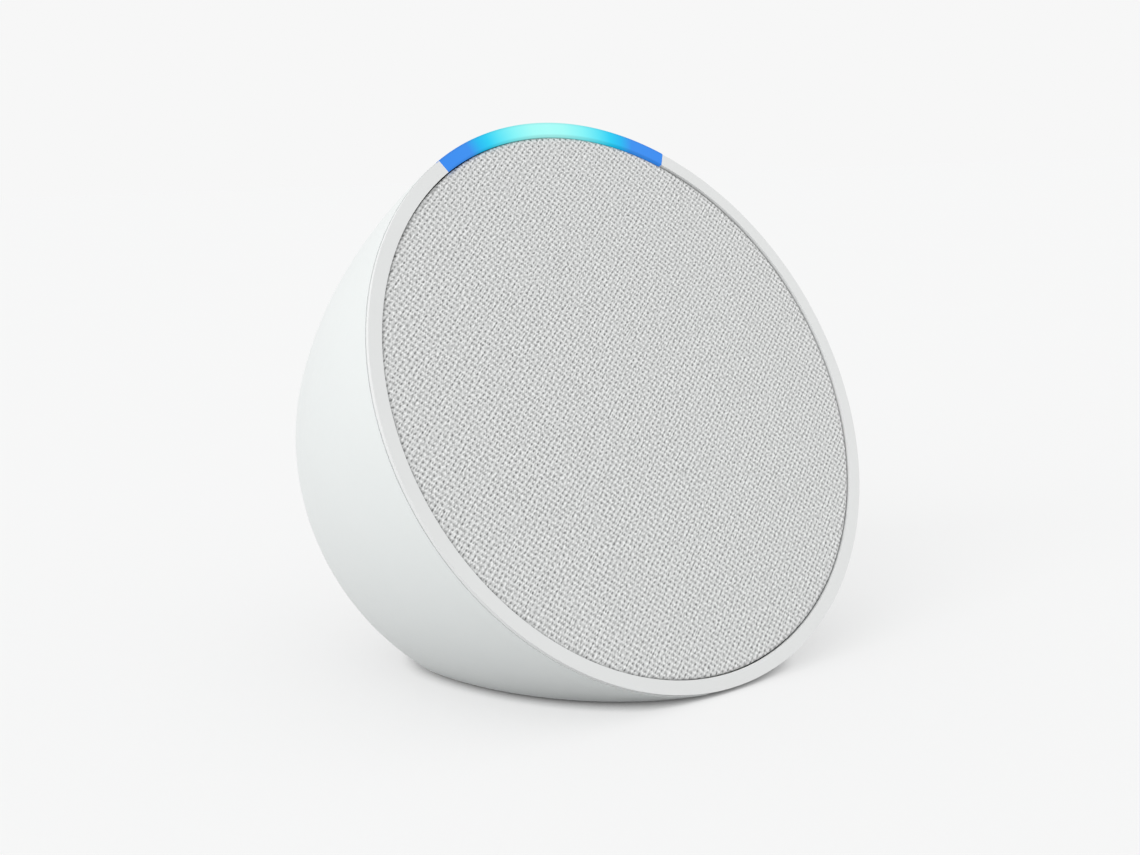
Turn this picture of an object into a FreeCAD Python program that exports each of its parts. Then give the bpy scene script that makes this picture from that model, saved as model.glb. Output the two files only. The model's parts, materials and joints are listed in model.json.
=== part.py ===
import FreeCAD, Part
import math
import os
import re
import Sketcher

# Compact table-top smart speaker: a round, upward-tilted fabric face on a moulded dome that stands on a
# cut-off flat base.  Millimetres, +Z up, the face looks towards -Y, origin at the bottom centre.
#
# Most parts are turned about the face axis, so they are drawn in the face frame: radius is measured
# from the face axis, and depth backwards from the plane of the rim.

Vector = FreeCAD.Vector
Rotation = FreeCAD.Rotation
Placement = FreeCAD.Placement

doc = FreeCAD.newDocument("smart_speaker")
dims = doc.addObject("Spreadsheet::Sheet", "dims")

SIZES = [
    # housing
    ("rim_radius", 49.5),
    ("dome_depth", 62.0),
    ("front_arc", 108.0),
    ("middle_arc", 37.5),
    ("back_arc", 110.0),
    ("face_tilt", 25.0),
    ("face_height", 45.6),
    ("face_forward", -20.86),
    ("shell_wall", 2.2),
    ("shell_front", 0.8),
    ("base_level", 0.7),
    ("cavity_floor", 2.5),
    ("part_floor", 2.8),
    # larger than the whole speaker, for trimming
    ("beyond", 60.0),
    # how far a cutting tool runs past the surface that it opens
    ("spare", 1.0),
    ("hole_reach", 7.0),
    ("sliding_gap", 0.05),
    ("touch_gap", 0.02),
    # front rim and light bar
    ("bezel_radius", 49.4),
    ("bezel_inner", 47.1),
    ("bezel_thickness", 0.7),
    ("sleeve_radius", 48.1),
    ("sleeve_depth", 6.0),
    ("rabbet_radius", 48.2),
    ("rabbet_depth", 6.1),
    ("bar_half_angle", 29.4),
    ("bar_gap_angle", 0.1),
    ("bar_depth", 3.0),
    ("bar_foot_radius", 44.5),
    ("bar_foot_depth", 4.5),
    # grille
    ("fabric_radius", 46.9),
    ("fabric_front", 0.3),
    ("grille_radius", 46.2),
    ("grille_front", 0.9),
    ("grille_back", 2.6),
    ("skirt_radius", 41.2),
    ("skirt_inner", 40.0),
    ("slot_length", 9.0),
    ("slot_width", 2.2),
    # light board
    ("led_board_outer", 46.6),
    ("led_board_inner", 42.0),
    ("led_board_front", 7.0),
    ("led_radius", 45.4),
    ("led_size", 1.8),
    ("led_height", 0.7),
    ("led_board_margin", 3.0),
    ("led_board_tail", 12.0),
    # baffle and speaker box
    ("baffle_radius", 46.6),
    ("baffle_front", 8.0),
    ("baffle_back", 10.3),
    ("baffle_hole", 24.4),
    ("boss_radius", 3.2),
    ("boss_side", 14.0),
    ("boss_forward", -25.5),
    ("boss_top", 13.0),
    ("box_front_radius", 34.0),
    ("box_back_radius", 27.0),
    ("box_flange", 37.0),
    ("box_back", 37.5),
    ("box_wall", 1.8),
    ("box_flange_thickness", 1.6),
    ("box_screw_circle", 35.6),
    ("boss_gap", 0.5),
    ("light_slot_length", 7.0),
    ("light_slot_width", 2.4),
    # driver
    ("basket_radius", 28.0),
    ("basket_front", 6.8),
    ("bucket_radius", 23.6),
    ("bucket_back_radius", 17.5),
    ("basket_back", 21.0),
    ("basket_wall", 0.9),
    ("cone_radius", 19.0),
    ("cone_front", 6.9),
    ("cone_back", 13.0),
    ("cone_wall", 0.35),
    ("surround_inner", 19.2),
    ("surround_outer", 23.3),
    ("surround_wall", 0.5),
    ("former_radius", 6.5),
    ("former_wall", 0.2),
    ("former_back", 24.0),
    ("winding_radius", 6.9),
    ("winding_front", 20.0),
    ("spider_radius", 18.4),
    ("spider_depth", 16.0),
    ("plate_radius", 16.0),
    ("plate_hole", 7.2),
    ("plate_back", 24.0),
    ("magnet_radius", 17.0),
    ("magnet_hole", 9.5),
    ("magnet_back", 30.0),
    ("pole_radius", 6.0),
    ("yoke_back", 33.0),
    ("driver_screw_circle", 26.2),
    ("basket_hole", 8.0),
    ("basket_lip", 0.2),
    ("window_width", 7.5),
    ("window_length", 10.0),
    ("window_height", 3.0),
    ("window_radius", 21.0),
    ("window_depth", 20.0),
    ("cap_radius", 14.0),
    ("cap_wall", 0.4),
    ("cap_centre_depth", 25.3),
    ("cap_edge_depth", 14.4),
    ("winding_back", 23.7),
    ("spider_step", 1.1),
    ("spider_gap", 0.15),
    ("spider_rise", 0.6),
    ("spider_thickness", 0.3),
    ("terminal_length", 9.4),
    ("terminal_width", 4.5),
    ("terminal_height", 5.0),
    ("terminal_row", -21.0),
    ("terminal_depth", 19.0),
    ("tab_width", 1.6),
    ("tab_thickness", 0.6),
    ("tab_height", 2.5),
    # main board
    ("board_front", 41.0),
    ("board_thickness", 1.2),
    ("board_radius", 25.5),
    ("standoff_radius", 2.2),
    ("standoff_circle", 22.4),
    ("can_wall", 0.2),
    ("antenna_side", 17.0),
    ("capacitor_radius", 2.6),
    ("capacitor_height", 5.5),
    ("capacitor_side", 12.5),
    # buttons
    ("button_depth", 18.0),
    ("button_pitch", 12.5),
    ("button_radius", 4.0),
    ("button_hole", 4.2),
    ("button_proud", 0.4),
    ("button_floor", 6.4),
    ("flange_radius", 4.9),
    ("flange_gap", 0.15),
    ("stem_radius", 1.3),
    ("plunger_radius", 1.4),
    ("plunger_top", 7.6),
    ("plunger_bottom", 9.2),
    ("switch_size", 5.4),
    ("switch_top", 8.4),
    ("switch_bore", 1.55),
    ("switch_bore_depth", 1.5),
    ("key_board_top", 10.4),
    ("key_board_thickness", 1.0),
    ("key_board_length", 44.0),
    ("key_board_width", 12.0),
    ("post_side", 19.7),
    ("mic_side", 6.25),
    ("mic_back", 5.0),
    ("mic_hole", 0.5),
    ("mic_length", 3.5),
    ("mic_width", 2.7),
    ("mic_height", 0.9),
    ("gasket_radius", 1.9),
    ("gasket_bore", 0.6),
    ("key_board_shift", 1.4),
    ("key_post_radius", 1.8),
    # power inlet
    ("inlet_height", 22.0),
    ("inlet_collar_radius", 6.0),
    ("inlet_bore", 5.0),
    ("inlet_front", 27.6),
    ("inlet_length", 4.0),
    ("jack_bore", 2.85),
    ("jack_length", 10.0),
    ("pin_radius", 1.0),
    ("pin_length", 7.8),
    ("inlet_wall", 1.8),
    ("inlet_reach", 14.0),
    ("jack_size", 10.4),
    ("jack_end_wall", 1.4),
    ("groove_width", 1.8),
    ("groove_height", 1.2),
    ("groove_length", 6.8),
    ("groove_rise", 0.4),
    ("leaf_width", 1.6),
    ("leaf_thickness", 0.3),
    ("leaf_length", 6.5),
    ("leaf_rise", 0.3),
    # base
    ("base_screw_seat", 2.4),
    ("foot_radius", 25.0),
    ("foot_forward", -9.0),
    ("foot_thickness", 1.1),
    ("tape_thickness", 0.2),
    ("recess_depth", 0.6),
    ("foot_gap", 0.15),
    ("tape_margin", 0.5),
    # cables and leads
    ("lead_radius", 0.6),
    ("power_lead_length", 8.0),
    ("cable_thickness", 0.3),
    ("light_cable_width", 5.0),
    ("button_cable_width", 4.0),
    ("light_socket_length", 6.5),
    ("button_socket_length", 5.5),
    ("socket_width", 4.0),
    ("socket_height", 1.4),
    ("socket_shift", 2.0),
]

# each kind of screw: shank radius, length under the head, head radius, head height,
# radius of the hole it bites into, radius of the hole it passes through
SCREWS = {
    "base_screw": (0.95, 8.0, 2.2, 0.6, 1.0, 1.4),
    "box_screw": (0.9, 3.8, 1.8, 1.0, 1.0, 1.2),
    "driver_screw": (0.65, 3.2, 1.4, 0.8, 0.7, 0.85),
    "board_screw": (0.9, 4.2, 1.8, 1.0, 0.95, 1.1),
    "key_screw": (0.7, 4.5, 1.6, 0.9, 0.75, 1.0),
}
SCREW_MEASURES = ("shank", "length", "head", "head_height", "pilot", "hole")
# parts on the main board: length, width, height, place across, place up, height above the board
BOARD_PARTS = {
    "processor": (11.0, 11.0, 1.1, 0.0, 10.0, 0.0),
    "thermal_pad": (10.0, 10.0, 0.5, 0.0, 10.0, 1.1),
    "heat_spreader": (24.0, 17.0, 0.8, 0.0, 10.0, 1.6),
    "wireless_module": (13.0, 9.0, 0.8, 0.0, -13.0, 0.0),
    "shield_can": (11.4, 7.4, 1.6, 0.0, -13.0, 0.8),
    "antenna": (2.6, 13.0, 0.8, 0.0, 4.0, 0.0),
    "amplifier_chip": (6.0, 6.0, 0.9, -12.0, -12.5, 0.0),
}
BOARD_MEASURES = ("length", "width", "height", "x", "y", "level")
for table, measures in ((SCREWS, SCREW_MEASURES), (BOARD_PARTS, BOARD_MEASURES)):
    for name, sizes in table.items():
        SIZES += [("%s_%s" % (name, measure), size) for measure, size in zip(measures, sizes)]

ALIASES = set()
for row, (alias, size) in enumerate(SIZES, start=1):
    dims.set("A%d" % row, alias)
    dims.set("B%d" % row, str(size))
    dims.setAlias("B%d" % row, alias)
    ALIASES.add(alias)
doc.recompute()


def number(expression):
    """The value of an expression written with the sheet's aliases."""
    return float(dims.evalExpression(expression))


def bind(item, place, expression):
    """Ties a property or constraint to the sheet's cells."""
    item.setExpression(place, re.sub(
        r"[a-z_]\w*", lambda word: "dims." + word[0] if word[0] in ALIASES else word[0], expression))


FACE = Placement(
    Vector(0, number("face_forward"), number("face_height")),
    Rotation(Vector(1, 0, 0), 90 - number("face_tilt")))
WORLD = Placement()


def turn_about(axis, degrees):
    """A placement that only turns."""
    return Placement(Vector(), Rotation(Vector(*axis), degrees))


def shift(x, y, z):
    """A placement that only moves."""
    return Placement(Vector(x, y, z), Rotation())


def on_face(x, y, depth):
    """A placement at a point of the face frame, its Z axis pointing out of the face."""
    return FACE * Placement(Vector(x, y, -depth), Rotation())


# ---------------------------------------------------------------- building blocks

nodes = []


def node(item, name):
    """Marks a finished piece and gives it the name of its file."""
    item.Label = name
    nodes.append(item)
    return item


def origin_plane(body, role):
    return next(plane for plane in body.Origin.OriginFeatures if plane.Role == role)


def new_sketch(body, plane):
    sketch = body.newObject("Sketcher::SketchObject", body.Name + "_outline")
    sketch.AttachmentSupport = [(origin_plane(body, plane), "")]
    sketch.MapMode = "FlatFace"
    return sketch


def pin_point(sketch, curve, end, x, y):
    """Ties a point of the sketch to expressions for its two coordinates."""
    for kind, expression in (("DistanceX", x), ("DistanceY", y)):
        index = sketch.addConstraint(Sketcher.Constraint(kind, -1, 1, curve, end, number(expression)))
        bind(sketch, "Constraints[%d]" % index, expression)


def pin_radius(sketch, curve, expression):
    index = sketch.addConstraint(Sketcher.Constraint("Radius", curve, number(expression)))
    bind(sketch, "Constraints[%d]" % index, expression)


def draw_outline(sketch, corners):
    """A closed outline of straight lines, each corner bound to the sheet."""
    points = [Vector(number(x), number(y), 0) for x, y in corners]
    for i, point in enumerate(points):
        sketch.addGeometry(Part.LineSegment(point, points[(i + 1) % len(points)]), False)
    for i in range(len(points)):
        sketch.addConstraint(Sketcher.Constraint("Coincident", i, 2, (i + 1) % len(points), 1))
    for i, (x, y) in enumerate(corners):
        pin_point(sketch, i, 1, x, y)


def revolve(body, sketch):
    feature = body.newObject("PartDesign::Revolution", body.Name + "_turned")
    feature.Profile = sketch
    feature.ReferenceAxis = (sketch, ["V_Axis"])
    feature.Angle = 360


def turned(name, corners, place=FACE):
    """A body of revolution from (radius, depth) corners."""
    body = doc.addObject("PartDesign::Body", name)
    sketch = new_sketch(body, "XZ_Plane")
    draw_outline(sketch, [(radius, "-(%s)" % depth) for radius, depth in corners])
    revolve(body, sketch)
    body.Placement = place
    return body


def ring(name, inner, outer, front, back, place=FACE):
    """A turned part of rectangular section."""
    return turned(name, [(inner, front), (outer, front), (outer, back), (inner, back)], place)


def cylinder(name, radius, height, place):
    item = doc.addObject("Part::Cylinder", name)
    bind(item, "Radius", radius)
    bind(item, "Height", height)
    item.Placement = place
    return item


def block(name, length, width, height, place):
    """A box centred on its placement in X and Y, growing along Z."""
    item = doc.addObject("Part::Box", name)
    bind(item, "Length", length)
    bind(item, "Width", width)
    bind(item, "Height", height)
    item.Placement = place * Placement(Vector(-number(length) / 2, -number(width) / 2, 0), Rotation())
    return item


def cut(name, base, *tools):
    item = base
    for count, tool in enumerate(tools):
        result = doc.addObject("Part::Cut", "%s_cut%d" % (name, count))
        result.Base = item
        result.Tool = tool
        item = result
    return item


def fuse(name, *pieces):
    item = doc.addObject("Part::MultiFuse", name + "_fused")
    item.Shapes = list(pieces)
    item.Refine = True
    return item


def common(name, *pieces):
    item = doc.addObject("Part::MultiCommon", name + "_common")
    item.Shapes = list(pieces)
    return item


def group(name, pieces):
    """Separate solids of one kind kept together in one node."""
    item = doc.addObject("Part::Compound", name + "_set")
    item.Links = list(pieces)
    return item


def dome(name, inset):
    """The solid inside the dome's surface moved inwards by inset: three tangent arcs, revolved."""
    body = doc.addObject("PartDesign::Body", name)
    sketch = new_sketch(body, "XZ_Plane")
    rim = number("rim_radius")
    front, middle, back = number("front_arc"), number("middle_arc"), number("back_arc")
    front_centre = Vector(rim - front, 0, 0)
    back_centre = Vector(0, back - number("dome_depth"), 0)
    # the middle centre is where circles about the other two centres cross, on the outer side
    across = back_centre - front_centre
    to_front, to_back = front - middle, back - middle
    along = (across.Length**2 + to_front**2 - to_back**2) / (2 * across.Length)
    aside = math.sqrt(to_front**2 - along**2)
    unit = across / across.Length
    middle_centre = front_centre + unit * along + Vector(unit.y, -unit.x, 0) * aside
    front_turn = math.atan2(middle_centre.y - front_centre.y, middle_centre.x - front_centre.x)
    back_turn = math.atan2(middle_centre.y - back_centre.y, middle_centre.x - back_centre.x)
    arcs = [
        (front_centre, "front_arc", front_turn, 0),
        (middle_centre, "middle_arc", back_turn, front_turn),
        (back_centre, "back_arc", -math.pi / 2, back_turn),
    ]
    for centre, alias, start, end in arcs:
        circle = Part.Circle(centre, Vector(0, 0, 1), number("%s - (%s)" % (alias, inset)))
        sketch.addGeometry(Part.ArcOfCircle(circle, start, end), False)
    front_edge = Vector(number("rim_radius - (%s)" % inset), 0, 0)
    back_point = Vector(0, -number("dome_depth - (%s)" % inset), 0)
    sketch.addGeometry(Part.LineSegment(Vector(0, 0, 0), front_edge), False)
    sketch.addGeometry(Part.LineSegment(back_point, Vector(0, 0, 0)), False)
    sketch.addConstraint(Sketcher.Constraint("Tangent", 0, 1, 1, 2))
    sketch.addConstraint(Sketcher.Constraint("Tangent", 1, 1, 2, 2))
    sketch.addConstraint(Sketcher.Constraint("Coincident", 0, 2, 3, 2))
    sketch.addConstraint(Sketcher.Constraint("Coincident", 2, 1, 4, 1))
    sketch.addConstraint(Sketcher.Constraint("Coincident", 3, 1, 4, 2))
    sketch.addConstraint(Sketcher.Constraint("Coincident", 3, 1, -1, 1))
    sketch.addConstraint(Sketcher.Constraint("Horizontal", 3))
    sketch.addConstraint(Sketcher.Constraint("Vertical", 4))
    pin_point(sketch, 0, 3, "rim_radius - front_arc", "0")
    pin_point(sketch, 2, 3, "0", "back_arc - dome_depth")
    for curve, alias in enumerate(("front_arc", "middle_arc", "back_arc")):
        pin_radius(sketch, curve, "%s - (%s)" % (alias, inset))
    revolve(body, sketch)
    body.Placement = FACE
    return body


def below(name, level):
    """Everything lower than a level, to trim parts along the flat base."""
    return block(name, "3 * beyond", "3 * beyond", "beyond + (%s)" % level, shift(0, 0, -number("beyond")))


def wedge(name, half_angle, front, back):
    """The sector of the face that the light bar fills, either side of the top."""
    item = cylinder(name, "beyond", "(%s) - (%s)" % (back, front), WORLD)
    bind(item, "Angle", "2 * (%s)" % half_angle)
    item.Placement = on_face(0, 0, number(back)) * turn_about((0, 0, 1), 90 - number(half_angle))
    return item


def arc_solid(name, section, start, end):
    """A turned part kept only between two angles about the face axis, measured from the top."""
    inner, outer, front, back = section
    item = cylinder(name + "_outer", outer, "(%s) - (%s)" % (back, front), WORLD)
    bore = cylinder(name + "_inner", inner, "(%s) - (%s)" % (back, front), WORLD)
    for piece in (item, bore):
        bind(piece, "Angle", "(%s) - (%s)" % (end, start))
        piece.Placement = on_face(0, 0, number(back)) * turn_about((0, 0, 1), 90 + number(start))
    return cut(name, item, bore)


# ---------------------------------------------------------------- housing

outer_dome = dome("outer_dome", "0")
cavity_dome = dome("cavity_dome", "shell_wall")
below_base = below("below_base", "base_level")
below_cavity = below("below_cavity", "cavity_floor")
below_parts = below("below_parts", "part_floor")

BUTTON_NAMES = ("volume_down", "volume_up", "mute")
button_slope = math.degrees(math.asin(number("button_depth / front_arc")))
button_radius_out = number("rim_radius - front_arc + sqrt(front_arc^2 - button_depth^2)")
# the button frame: its Z axis leaves the dome square to it at the middle button
BUTTONS = FACE * Placement(
    Vector(0, button_radius_out, -number("button_depth")), Rotation(Vector(1, 0, 0), -90 - button_slope))


def in_buttons(x, y, height):
    return BUTTONS * Placement(Vector(x, y, height), Rotation())


button_sides = [-number("button_pitch"), 0, number("button_pitch")]
post_sides = [-number("post_side"), number("post_side")]
mic_sides = [-number("mic_side"), number("mic_side")]
MIC_ROW = number("mic_back")

# where the cables run: the light cable lies in a plane through the face axis, clear of the button board
LIGHT_CABLE_PLANE = FACE * turn_about((0, 0, 1), 37)
LIGHT_CABLE_START = 43.6
LIGHT_CABLE_END = 23.0
BUTTON_CABLE_SIDE = 12.0
BUTTON_CABLE_END = 19.0
LEAD_SIDES = (-3.2, 3.2)
LEAD_ROW = -22.0
TERMINAL_END = 21.5
POWER_LEAD_SIDES = (-2.4, 2.4)
CAPACITOR_ROWS = (-9.5, -15.5)

INLET = Placement(Vector(0, number("inlet_front"), number("inlet_height")), Rotation(Vector(1, 0, 0), -90))


def in_inlet(x, y, along):
    """A placement in the inlet's frame: Z runs out of the back of the speaker."""
    return INLET * Placement(Vector(x, y, along), Rotation())


def base_screw_spots(level):
    """Where the two base screws stand, at a level above the ground."""
    forward = number("boss_forward")
    return [shift(side * number("boss_side"), forward, number(level)) for side in (-1, 1)]


def make_rear_shell():
    cavity = cut("cavity", cavity_dome, below_cavity)
    front_slab = cylinder("front_slab", "beyond", "spare + shell_front", on_face(0, 0, number("shell_front")))
    rabbet_disc = cylinder("rabbet_disc", "rabbet_radius", "rabbet_depth", on_face(
        0, 0, number("rabbet_depth")))
    rabbet = cut("rabbet", rabbet_disc, below_cavity)
    notch_depth = "bar_depth + sliding_gap"
    notch_ring = ring("notch_ring", "bar_foot_radius", "rim_radius + spare", "0", notch_depth)
    notch_wedge = wedge("notch_wedge", "bar_half_angle + bar_gap_angle", "0", notch_depth)
    notch = common("notch", notch_ring, notch_wedge)
    recess = cylinder("foot_recess", "foot_radius + foot_gap", "spare + recess_depth", shift(
        0, number("foot_forward"), number("base_level - spare")))
    holes = []
    reach = number("hole_reach")
    for side in button_sides:
        holes.append(cylinder("button_hole", "button_hole", "2 * hole_reach", in_buttons(side, 0, -reach)))
    for side in mic_sides:
        holes.append(cylinder("mic_hole", "mic_hole", "2 * hole_reach", in_buttons(side, MIC_ROW, -reach)))
    holes.append(cylinder(
        "inlet_hole", "inlet_collar_radius + sliding_gap", "inlet_reach + 2 * spare",
        in_inlet(0, 0, -number("spare"))))
    for spot in base_screw_spots("0"):
        seat_height = "base_level + recess_depth + base_screw_head_height"
        holes.append(cylinder("base_screw_way", "base_screw_hole", "cavity_floor + spare", spot))
        holes.append(cylinder("base_screw_seat", "base_screw_seat", seat_height, spot))
    hollow = cut("hollow_shell", outer_dome, below_base, front_slab, cavity, rabbet, notch, recess)
    seat = common("inlet_seat", cavity_dome, cylinder(
        "inlet_boss", "inlet_collar_radius + inlet_wall", "inlet_reach", in_inlet(0, 0, 0)))
    post_places = [in_buttons(side, 0, -number("key_board_top")) for side in post_sides]
    posts = [cylinder("key_post", "key_post_radius", "key_board_top", place) for place in post_places]
    posts = [common("key_post", post, outer_dome) for post in posts]
    pilots = [cylinder("key_post_pilot", "key_screw_pilot", "key_screw_length", place) for place in post_places]
    solid = fuse("shell_with_posts", hollow, seat, *posts)
    node(cut("rear_shell", solid, *holes, *pilots), "rear_shell")


def make_rim():
    corners = [
        ("bezel_inner", "0"), ("bezel_radius", "0"), ("bezel_radius", "bezel_thickness"),
        ("sleeve_radius", "bezel_thickness"), ("sleeve_radius", "sleeve_depth"),
        ("bezel_inner", "sleeve_depth"),
    ]
    bezel_ring = turned("bezel_ring", corners)
    flange_ring = ring("bezel_flange", "bezel_inner", "bezel_radius", "0", "bezel_thickness")
    gap = wedge("bezel_gap", "bar_half_angle + bar_gap_angle", "-spare", "sleeve_depth + spare")
    trimmed = fuse("trimmed_bezel", cut("bezel_sleeve", bezel_ring, below_parts), flange_ring)
    node(cut("front_bezel", trimmed, gap), "front_bezel")
    bar_corners = [
        ("bezel_inner", "0"), ("rim_radius", "0"), ("rim_radius", "bar_depth"),
        ("sleeve_radius", "bar_depth"),
        ("sleeve_radius", "sleeve_depth"), ("bar_foot_radius", "sleeve_depth"),
        ("bar_foot_radius", "bar_foot_depth"), ("bezel_inner", "bar_foot_depth"),
    ]
    bar_ring = turned("light_bar_ring", bar_corners)
    bar_wedge = wedge("bar_wedge", "bar_half_angle", "-spare", "sleeve_depth + spare")
    node(common("light_bar", bar_ring, bar_wedge), "light_bar")


# radius of each ring of sound slots, and how many slots are in it
SLOT_RINGS = ((9, 4), (15.5, 8), (22, 12), (28.5, 16), (35, 20))


def make_grille():
    node(ring("fabric_disc", "0", "fabric_radius", "fabric_front", "grille_front"), "grille_fabric")
    corners = [
        ("0", "grille_front"), ("grille_radius", "grille_front"), ("grille_radius", "grille_back"),
        ("skirt_radius", "grille_back"), ("skirt_radius", "baffle_front"), ("skirt_inner", "baffle_front"),
        ("skirt_inner", "grille_back"), ("0", "grille_back"),
    ]
    body = turned("grille_plate", corners)
    # concentric rings of sound slots, one slot patterned around each ring
    for ring_number, (radius, count) in enumerate(SLOT_RINGS):
        sketch = body.newObject("Sketcher::SketchObject", "slot_row_%d" % ring_number)
        sketch.AttachmentSupport = [(origin_plane(body, "XY_Plane"), "")]
        sketch.MapMode = "FlatFace"
        low = "%g - slot_width / 2" % radius
        high = "%g + slot_width / 2" % radius
        left = "-slot_length / 2"
        right = "slot_length / 2"
        draw_outline(sketch, [(left, low), (right, low), (right, high), (left, high)])
        slot = body.newObject("PartDesign::Pocket", "slot_%d" % ring_number)
        slot.Profile = sketch
        slot.Reversed = False
        bind(slot, "Length", "grille_back + sliding_gap")
        pattern = body.newObject("PartDesign::PolarPattern", "slots_%d" % ring_number)
        pattern.Originals = [slot]
        pattern.Axis = (sketch, ["N_Axis"])
        pattern.Angle = 360
        pattern.Occurrences = count
        body.Tip = pattern
    node(body, "grille_frame")


# ---------------------------------------------------------------- light board

LED_ANGLES = (-24, -12, 0, 12, 24)


def make_light_board():
    section = ("led_board_inner", "led_board_outer", "led_board_front", "baffle_front")
    start = "-bar_half_angle - led_board_margin"
    end = "bar_half_angle + led_board_tail"
    node(arc_solid("led_board", section, start, end), "led_board")
    chips = []
    for angle in LED_ANGLES:
        spot = turn_about((0, 0, 1), angle) * shift(0, number("led_radius"), -number("led_board_front"))
        chips.append(block("led_chip", "led_size", "led_size", "led_height", FACE * spot))
    node(group("leds", chips), "leds")


# ---------------------------------------------------------------- baffle, speaker box and driver

def make_baffle():
    disc = ring("baffle_disc", "baffle_hole", "baffle_radius", "baffle_front", "baffle_back")
    bosses = []
    pilots = []
    for spot in base_screw_spots("part_floor"):
        bosses.append(cylinder("base_boss", "boss_radius", "boss_top - part_floor", spot))
        pilots.append(cylinder("base_boss_pilot", "base_screw_pilot", "base_screw_length", spot))
    behind = cylinder("behind_baffle", "beyond", "beyond", on_face(0, 0, number("baffle_front + beyond")))
    bosses = [common("base_boss", boss, behind) for boss in bosses]
    solid = fuse("baffle_with_bosses", cut("baffle_trim", disc, below_parts), *bosses)
    slot_height = "baffle_back - baffle_front + 2 * spare"
    slot_place = LIGHT_CABLE_PLANE * shift(0, LIGHT_CABLE_START, -number("baffle_back + spare"))
    cable_slot = block("light_cable_slot", "light_slot_length", "light_slot_width", slot_height, slot_place)
    for place in driver_screw_places():
        pilots.append(cylinder("driver_pilot", "driver_screw_pilot", "driver_screw_length + spare", place))
    for place in box_screw_places():
        pilots.append(cylinder("box_pilot", "box_screw_pilot", "box_screw_length", place))
    node(cut("front_baffle", solid, cable_slot, *pilots), "front_baffle")


def around(count, circle, depth, first=45):
    """Placements evenly spaced on a circle about the face axis, Z pointing backwards."""
    places = []
    for i in range(count):
        angle = math.radians(first + 360 * i / count)
        spot = on_face(circle * math.cos(angle), circle * math.sin(angle), depth)
        places.append(spot * turn_about((1, 0, 0), 180))
    return places


def driver_screw_places():
    return around(4, number("driver_screw_circle"), number("basket_front"), 0)


def box_screw_places():
    return around(4, number("box_screw_circle"), number("baffle_front"))


DRIVE_WIDTH = "0.45"
DRIVE_DEPTH = 0.5


def screws(name, kind, places):
    """Cross-head screws: each placement is under the head, its Z axis along the shank."""
    pieces = []
    for place in places:
        rod = cylinder(name + "_rod", kind + "_shank", kind + "_length", place)
        top = cylinder(name + "_top", kind + "_head", kind + "_head_height", place * shift(
            0, 0, -number(kind + "_head_height")))
        drive_place = place * shift(0, 0, DRIVE_DEPTH - number(kind + "_head_height + spare"))
        reach = "1.3 * %s_head" % kind
        drive = block(name + "_drive", reach, DRIVE_WIDTH, "spare", drive_place)
        drive_across = block(name + "_drive", DRIVE_WIDTH, reach, "spare", drive_place)
        pieces.append(cut(name + "_body", fuse(name, rod, top), drive, drive_across))
    node(group(name, pieces), name)


def make_speaker_box():
    corners = [
        ("box_flange", "baffle_back"), ("box_flange", "baffle_back + box_flange_thickness"),
        ("box_front_radius", "baffle_back + box_flange_thickness"), ("box_back_radius", "box_back"),
        ("0", "box_back"), ("0", "box_back - box_wall"),
        ("box_back_radius - box_wall", "box_back - box_wall"),
        ("box_front_radius - box_wall", "baffle_back + box_flange_thickness"),
        ("box_front_radius - box_wall", "baffle_back"),
    ]
    holes = []
    for place in box_screw_places():
        holes.append(cylinder("box_hole", "box_screw_hole", "2 * box_screw_length", place))
    for side in LEAD_SIDES:
        place = on_face(side, LEAD_ROW, number("box_back + spare"))
        holes.append(cylinder("lead_hole", "lead_radius + 2 * sliding_gap", "box_wall + 2 * spare", place))
    for spot in base_screw_spots("0"):
        holes.append(cylinder("boss_clearance", "boss_radius + boss_gap", "boss_top + 2 * spare", spot))
    node(cut("speaker_box", turned("speaker_cup", corners), *holes), "speaker_box")
    screws("box_screws", "box_screw", box_screw_places())


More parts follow.
